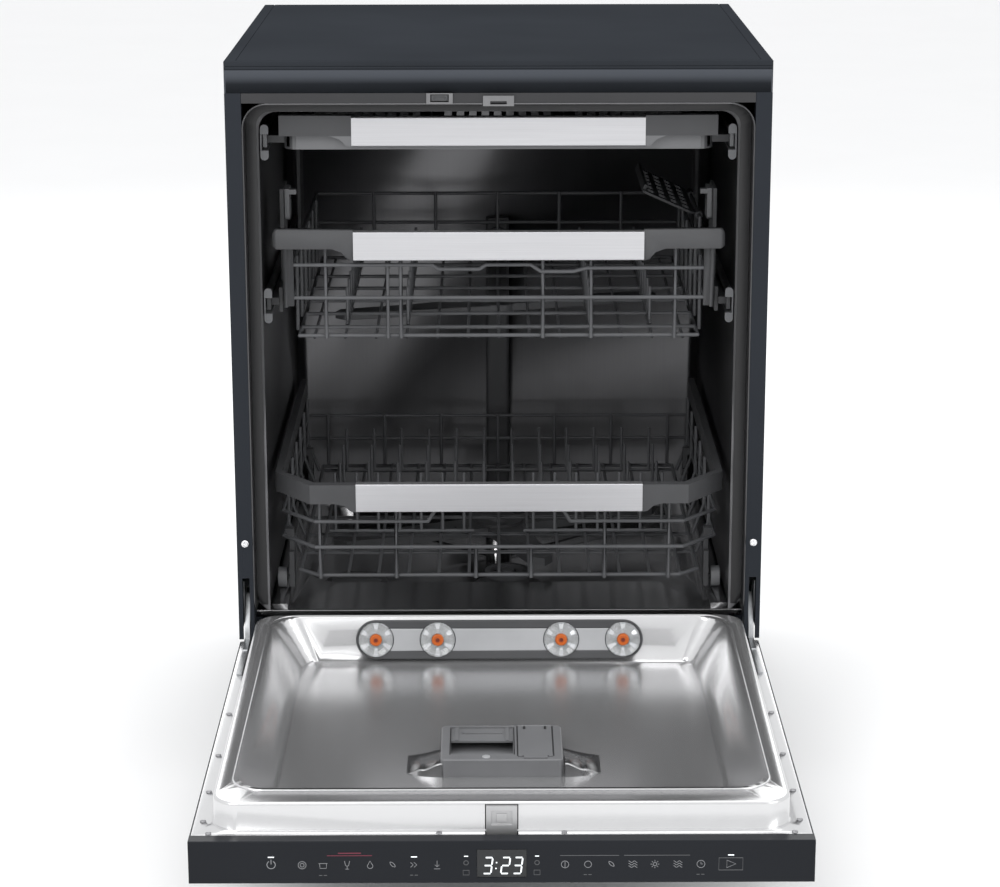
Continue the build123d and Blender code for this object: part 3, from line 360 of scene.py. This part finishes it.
def lathe(bm, profile, origin, axis, seg=48):
    """Closed solid of revolution: profile is (radius, height) from one end of the axis to the other."""
    axis = Vector(axis).normalized()
    u = axis.orthogonal().normalized(); v = axis.cross(u)
    o = Vector(origin)
    rings = []
    for r, h in profile:
        if r < 1e-7:
            rings.append([bm.verts.new(o + axis * h)])
        else:
            rings.append([bm.verts.new(o + axis * h + (u * math.cos(a) + v * math.sin(a)) * r) for a in (2 * math.pi * k / seg for k in range(seg))])
    for a, b in zip(rings, rings[1:]):
        for k in range(seg):
            k2 = (k + 1) % seg
            if len(a) == 1 and len(b) == 1:
                continue
            if len(a) == 1:
                bm.faces.new((a[0], b[k], b[k2]))
            elif len(b) == 1:
                bm.faces.new((a[k], b[0], a[k2]))
            else:
                bm.faces.new((a[k], b[k], b[k2], a[k2]))
    return rings


def tube(bm, pts, r, seg=10, closed=False):
    """Round bar through points, mitred at the bends."""
    pts = [Vector(p) for p in pts]
    n = len(pts)
    rings = []
    prev = None
    for i, p in enumerate(pts):
        a = pts[(i - 1) % n] if (closed or i) else p
        b = pts[(i + 1) % n] if (closed or i < n - 1) else p
        t = ((p - a).normalized() + (b - p).normalized())
        t = t.normalized() if t.length > 1e-6 else (b - a).normalized()
        if prev is None:
            u = t.orthogonal().normalized()
        else:
            u = (prev - t * prev.dot(t)).normalized()
        prev = u
        v = t.cross(u)
        rings.append([bm.verts.new(p + (u * math.cos(k) + v * math.sin(k)) * r) for k in (2 * math.pi * j / seg for j in range(seg))])
    m = n if closed else n - 1
    for i in range(m):
        a, b = rings[i], rings[(i + 1) % n]
        for k in range(seg):
            bm.faces.new((a[k], a[(k + 1) % seg], b[(k + 1) % seg], b[k]))
    if not closed:
        bm.faces.new(list(reversed(rings[0]))); bm.faces.new(rings[-1])


def round_loop(x0, x1, y0, y1, r, z, seg=8):
    out = []
    for cx, cy, a0 in ((x1 - r, y1 - r, 0), (x0 + r, y1 - r, 90), (x0 + r, y0 + r, 180), (x1 - r, y0 + r, 270)):
        for k in range(seg + 1):
            a = R(a0 + 90 * k / seg)
            out.append((cx + r * math.cos(a), cy + r * math.sin(a), z))
    return out


# ------------------------------------------------------------------ control strip
lo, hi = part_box("control_fascia")
FY = lo.y
STRIP = dict(x=lambda px: (px - 499.8) * 0.000953, z=lambda py: 0.181 - (py - 840) * 0.000967)
T = 0.00018


def stroke(bm, pts, w=0.0007, closed=False):
    """Printed line on the fascia: pts are (x, z) in metres."""
    pts = [Vector((p[0], 0, p[1])) for p in pts]
    n = len(pts)
    L, Rr = [], []
    for i, p in enumerate(pts):
        a = pts[(i - 1) % n] if (closed or i) else p
        b = pts[(i + 1) % n] if (closed or i < n - 1) else p
        t = (b - a).normalized()
        q = Vector((-t.z, 0, t.x)) * w / 2
        L.append(p + q); Rr.append(p - q)
    for d, flip in ((-T, False), (0.0, True)):
        pass
    idx = []
    for i in range(n):
        idx.append([bm.verts.new((c.x, FY + dy, c.z)) for c, dy in ((L[i], -T), (Rr[i], -T), (Rr[i], 0.00002), (L[i], 0.00002))])
    m = n if closed else n - 1
    for i in range(m):
        a, b = idx[i], idx[(i + 1) % n]
        for k in range(4):
            bm.faces.new((a[k], a[(k + 1) % 4], b[(k + 1) % 4], b[k]))
    if not closed:
        bm.faces.new(idx[0]); bm.faces.new(list(reversed(idx[-1])))


def circ(cx, cz, r, a0=0, a1=360, n=20):
    k = n if a1 - a0 < 360 else n
    e = 1 if a1 - a0 < 360 else 0
    return [(cx + r * math.cos(R(a0 + (a1 - a0) * i / n)), cz + r * math.sin(R(a0 + (a1 - a0) * i / n))) for i in range(n + e)]


X, Z = STRIP["x"], STRIP["z"]
bm = bmesh.new(); bmd = bmesh.new(); bmr = bmesh.new(); bml = bmesh.new()
# power symbol with its dash
stroke(bm, circ(X(269), Z(864.5), 0.0040, 120, 420))
stroke(bm, [(X(269), Z(859)), (X(269), Z(864))])
stroke(bml, [(X(266), Z(856.5)), (X(272), Z(856.5))], 0.0009)


def icon(k, cx, cz, s=0.0040):
    """Plain pictograms, one for each touch field."""
    if k == "drop":
        stroke(bm, circ(cx, cz - s * .25, s * .62, 130, 410) + [(cx, cz + s)], 0.0005, True)
    elif k == "ring":
        stroke(bm, circ(cx, cz, s * .8), 0.0005, True)
    elif k == "ring2":
        stroke(bm, circ(cx, cz, s * .9), 0.0005, True); stroke(bm, circ(cx, cz, s * .45), 0.0005, True)
    elif k == "glass":
        stroke(bm, [(cx - s * .6, cz + s), (cx - s * .35, cz - .1 * s), (cx, cz - .3 * s), (cx + s * .35, cz - .1 * s), (cx + s * .6, cz + s)], 0.0005)
        stroke(bm, [(cx, cz - .3 * s), (cx, cz - s)], 0.0005); stroke(bm, [(cx - s * .4, cz - s), (cx + s * .4, cz - s)], 0.0005)
    elif k == "leaf":
        stroke(bm, circ(cx - s * .5, cz - s * .5, s * 1.2, 0, 90, 8) + circ(cx + s * .7, cz + s * .7, s * 1.2, 180, 270, 8), 0.0005, True)
    elif k == "pot":
        stroke(bm, [(cx - s, cz + s * .4), (cx + s, cz + s * .4)], 0.0005)
        stroke(bm, [(cx - s * .8, cz + s * .4), (cx - s * .7, cz - s * .8), (cx + s * .7, cz - s * .8), (cx + s * .8, cz + s * .4)], 0.0005)
    elif k == "wave":
        for dz in (-.6, 0, .6):
            stroke(bm, [(cx + s * t, cz + s * (dz + .22 * math.sin(t * 5))) for t in (-1, -.75, -.5, -.25, 0, .25, .5, .75, 1)], 0.0005)
    elif k == "half":
        stroke(bm, circ(cx, cz, s * .85), 0.0005, True)
        stroke(bm, [(cx, cz + s * .85), (cx, cz - s * .85)], 0.0005)
    elif k == "clock":
        stroke(bm, circ(cx, cz, s * .9), 0.0005, True)
        stroke(bm, [(cx, cz + s * .55), (cx, cz), (cx + s * .45, cz)], 0.0005)
    elif k == "sun":
        stroke(bm, circ(cx, cz, s * .4), 0.0005, True)
        for a in range(0, 360, 45):
            stroke(bm, [(cx + s * .6 * math.cos(R(a)), cz + s * .6 * math.sin(R(a))), (cx + s * math.cos(R(a)), cz + s * math.sin(R(a)))], 0.0005)
    elif k == "chev":
        for d in (-.4, .4):
            stroke(bm, [(cx - s * .4 + d * s, cz + s * .6), (cx + s * .2 + d * s, cz), (cx - s * .4 + d * s, cz - s * .6)], 0.0005)
    elif k == "arrow":
        stroke(bm, [(cx, cz + s), (cx, cz - s * .4)], 0.0005); stroke(bm, [(cx - s * .5, cz), (cx, cz - s * .5), (cx + s * .5, cz)], 0.0005)
        stroke(bm, [(cx - s * .7, cz - s), (cx + s * .7, cz - s)], 0.0005)


for px, k in ((300, "ring2"), (321, "pot"), (345, "glass"), (368, "drop"), (390, "leaf"), (412, "chev"), (435, "arrow"),
              (563, "half"), (586, "ring"), (609, "leaf"), (631, "wave"), (653, "sun"), (676, "wave"), (699, "clock")):
    icon(k, X(px), Z(865), 0.0042)
    for i in range(2 if px in (321, 412, 586, 699) else 0):
        stroke(bmd, [(X(px) - 0.004 + i * 0.0045, Z(876)), (X(px) - 0.001 + i * 0.0045, Z(876))], 0.0006)
stroke(bml, [(X(409), Z(856.5)), (X(415), Z(856.5))], 0.0009)
stroke(bmr, [(X(325), Z(855)), (X(370), Z(855))], 0.0008)
stroke(bmr, [(X(336), Z(852.4)), (X(359), Z(852.4))], 0.0012)
for a, c in ((558, 617), (622, 688)):
    stroke(bmd, [(X(a), Z(855.5)), (X(c), Z(855.5))], 0.0005)
# start field: framed triangle
stroke(bmd, [(X(717), Z(858.5)), (X(741), Z(858.5)), (X(741), Z(871.5)), (X(717), Z(871.5))], 0.0006, True)
stroke(bm, [(X(725), Z(861)), (X(734), Z(865)), (X(725), Z(869))], 0.0006, True)
stroke(bml, [(X(726), Z(855.5)), (X(732), Z(855.5))], 0.0009)
for px in (464, 535):
    stroke(bml, [(X(px - 2), Z(856)), (X(px + 2), Z(856))], 0.0008)
    stroke(bmd, circ(X(px), Z(863), 0.0022), 0.0005, True)
    stroke(bmd, [(X(px - 3), Z(871)), (X(px + 3), Z(871)), (X(px + 3), Z(876)), (X(px - 3), Z(876))], 0.0005, True)
mesh_obj("legend_icons", bm, M["glyph"], "door", smooth=False)
mesh_obj("legend_fine_lines", bmd, M["glyphdim"], "door", smooth=False)
mesh_obj("legend_red_lines", bmr, M["red"], "door", smooth=False)
mesh_obj("indicator_dashes", bml, M["led"], "door", smooth=False)

# display: smoked window and slanted segment digits
bm = bmesh.new()
box(bm, -0.0237, 0.0237, FY + 0.0001, FY + 0.0007, 0.1438, 0.1722)
mesh_obj("display_window", bm, M["window"], "door", 0.0002)
bm = bmesh.new()
SEG = {"3": "abgcd", "2": "abged", "1": "bc", "4": "fgbc"}


def digit(ch, cx, cz, w=0.0072, h=0.0165):
    sl = 0.12
    def P(u, v):
        return (cx + (u * w / 2) + sl * v * h / 2, cz + v * h / 2)
    g = 0.12
    lines = dict(a=((-1 + g, 1), (1 - g, 1)), d=((-1 + g, -1), (1 - g, -1)), g=((-1 + g, 0), (1 - g, 0)),
                 b=((1, 1 - g), (1, g)), c=((1, -g), (1, -1 + g)), f=((-1, 1 - g), (-1, g)), e=((-1, -g), (-1, -1 + g)))
    for k in SEG[ch]:
        a, c = lines[k]
        stroke(bm, [P(*a), P(*c)], 0.0013)


digit("3", X(486), Z(866)); digit("2", X(503.5), Z(866)); digit("3", X(516), Z(866))
for dz in (-0.003, 0.003):
    stroke(bm, [(X(494.2) + dz * .1, Z(866) + dz - .0006), (X(494.2) + dz * .1, Z(866) + dz + .0006)], 0.0012)
digits = mesh_obj("display_digits", bm, M["led"], "door", smooth=False)

# ------------------------------------------------------------------ door liner details
bm = bmesh.new()
tube(bm, round_loop(-0.2625, 0.2625, -0.5045, 0.0040, 0.031, 0.2100), 0.0011, 8, True)
tube(bm, round_loop(-0.2795, 0.2795, -0.5352, -0.0014, 0.027, 0.1812), 0.0012, 8, False)
mesh_obj("liner_beads", bm, M["liner"], "door")
# pressed flares either side of the dispenser: two soft steps falling away from the housing
def step(t, a, w):
    t = min(1.0, max(0.0, (t - a) / w))
    return t * t * (3 - 2 * t)


bm = bmesh.new()
for s in (-1, 1):
    x0 = 0.003 + s * 0.0632
    rows = []
    for i in range(41):
        t = i / 40
        xx = x0 + s * 0.0370 * t
        h = 0.0145 * (1 - step(t, 0.05, 0.50)) + 0.0070 * (step(t, 0.05, 0.50) - step(t, 0.55, 0.45))
        h = max(h, 0.0004)
        yf = -0.3535 + 0.0100 * t * t
        row = [(yf - 0.0012, 0.0)]
        for k in range(6):
            a = math.pi / 2 * k / 5
            row.append((yf + 0.0022 * (1 - math.cos(a)), max(0.0, h - 0.0022) + min(h, 0.0022) * math.sin(a)))
        for k in range(1, 13):
            v = k / 12
            row.append((yf + 0.0022 + (0.075 - 0.030 * t) * v, max(0.0002, h * (1 - step(v, 0.0, 1.0)))))
        rows.append([bm.verts.new((xx, yy, 0.1600 + zz)) for yy, zz in row])
    for i in range(40):
        for j in range(len(rows[0]) - 1):
            bm.faces.new((rows[i][j], rows[i + 1][j], rows[i + 1][j + 1], rows[i][j + 1]))
    # close against the housing and underneath
    n = len(rows[0])
    base = [[bm.verts.new((r[0].co.x, r[0].co.y, 0.1599)), bm.verts.new((r[-1].co.x, r[-1].co.y, 0.1599))] for r in rows]
    for i in range(40):
        bm.faces.new((base[i][0], base[i][1], base[i + 1][1], base[i + 1][0]))
        bm.faces.new((rows[i][0], base[i][0], base[i + 1][0], rows[i + 1][0]))
        bm.faces.new((rows[i][-1], rows[i + 1][-1], base[i + 1][1], base[i][1]))
    for i in (0, 40):
        bm.faces.new([*rows[i], base[i][1], base[i][0]])
mesh_obj("pressed_flares", bm, M["flare"], "door", angle=60)

# seams of the dispenser: shadow gaps round the cavity and the flap, a button and two hinge lugs
lo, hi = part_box("dispenser_housing")
zt = hi[2]
bm = bmesh.new()
for x0, x1, y0, y1 in ((0.0168, 0.0178, -0.3440, -0.2620), (0.0542, 0.0552, -0.3440, -0.2620), (0.0235, 0.0246, -0.3560, -0.3450),
                       (0.0474, 0.0485, -0.3560, -0.3450), (-0.0530, -0.0520, -0.3400, -0.2660), (0.0135, 0.0145, -0.3400, -0.2660)):
    if y0 > lo[1] + 0.0005:
        box(bm, x0, x1, y0, y1, zt - 0.0004, zt + 0.00025)
for x in (0.0250, 0.0470):
    box(bm, x - 0.0011, x + 0.0011, -0.2720, -0.2660, 0.1804, 0.18085)
mesh_obj("dispenser_seams", bm, M["seam"], "door", smooth=False)

# nozzle lenses: faceted clear cups; nozzles: stepped orange jets
AX = Vector((0, -50, 10)).normalized()
O0 = Vector((0, -0.00605, 0.185))
bm = bmesh.new(); bo = bmesh.new(); bs = bmesh.new()
for x in (-0.142, -0.071, 0.071, 0.142):
    c = O0 + Vector((x, 0, 0)) + AX * 0.003
    prof = [(0.0074, 0.0006), (0.0200, 0.0001), (0.0200, 0.0030), (0.0188, 0.0046), (0.0170, 0.0040), (0.0125, 0.0024), (0.0095, 0.0030),
            (0.0084, 0.0046), (0.0074, 0.0046), (0.0074, 0.0006)]
    lathe(bm, prof, c, AX, 20)
    lathe(bo, [(0, 0.0), (0.0068, 0.0), (0.0068, 0.0052), (0.0060, 0.0064), (0.0046, 0.0066), (0.0042, 0.0058), (0.0030, 0.0058),
               (0.0026, 0.0066), (0.0018, 0.0066), (0.0016, 0.0030), (0, 0.0030)], c, AX, 40)
    # bright reflector spokes moulded behind the lens
    for k in range(6):
        a = R(k * 60 + 30)
        u = Vector((1, 0, 0)); v = AX.cross(u)
        d = u * math.cos(a) + v * math.sin(a)
        q = u * -math.sin(a) + v * math.cos(a)
        pts = []
        for rr, ww, hh in ((0.0085, 0.0012, 0.0012), (0.0185, 0.0030, 0.0009)):
            pts += [c + d * rr - q * ww + AX * 0.0002, c + d * rr + q * ww + AX * 0.0002, c + d * rr + q * ww + AX * hh, c + d * rr - q * ww + AX * hh]
        vs = [bs.verts.new(p) for p in pts]
        for f in ((0, 1, 2, 3), (4, 7, 6, 5), (0, 4, 5, 1), (1, 5, 6, 2), (2, 6, 7, 3), (3, 7, 4, 0)):
            bs.faces.new([vs[i] for i in f])
o = mesh_obj("lens_cups", bm, M["lens"], "door", angle=20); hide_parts("nozzle_lenses")
o = mesh_obj("jet_nozzles", bo, M["orange"], "door"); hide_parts("steam_nozzles")
bm = bmesh.new()
for x in (-0.142, -0.071, 0.071, 0.142):
    c = O0 + Vector((x, 0, 0)) + AX * 0.003
    lathe(bm, [(0, 0.0030), (0.0024, 0.0030), (0.0024, 0.0068), (0.0019, 0.0070), (0.0015, 0.0062), (0, 0.0060)], c, AX, 24)
mesh_obj("jet_cores", bm, plastic("jet_core", (0.16, 0.02, 0.006), 0.5), "door")
mesh_obj("lens_reflectors", bs, M["chrome"], "door", smooth=False)

# ------------------------------------------------------------------ balance springs
bm = bmesh.new()
for s in (-1, 1):
    n, turns = 22 * 16, 22
    pts = []
    for i in range(n + 1):
        a = 2 * math.pi * turns * i / n
        pts.append((s * 0.2895 + 0.0066 * math.cos(a), 0.168 + 0.144 * i / n, 0.130 + 0.0066 * math.sin(a)))
    tube(bm, pts, 0.0011, 6)
o = mesh_obj("balance_springs", bm, M["galv"], "root"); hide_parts("door_springs")
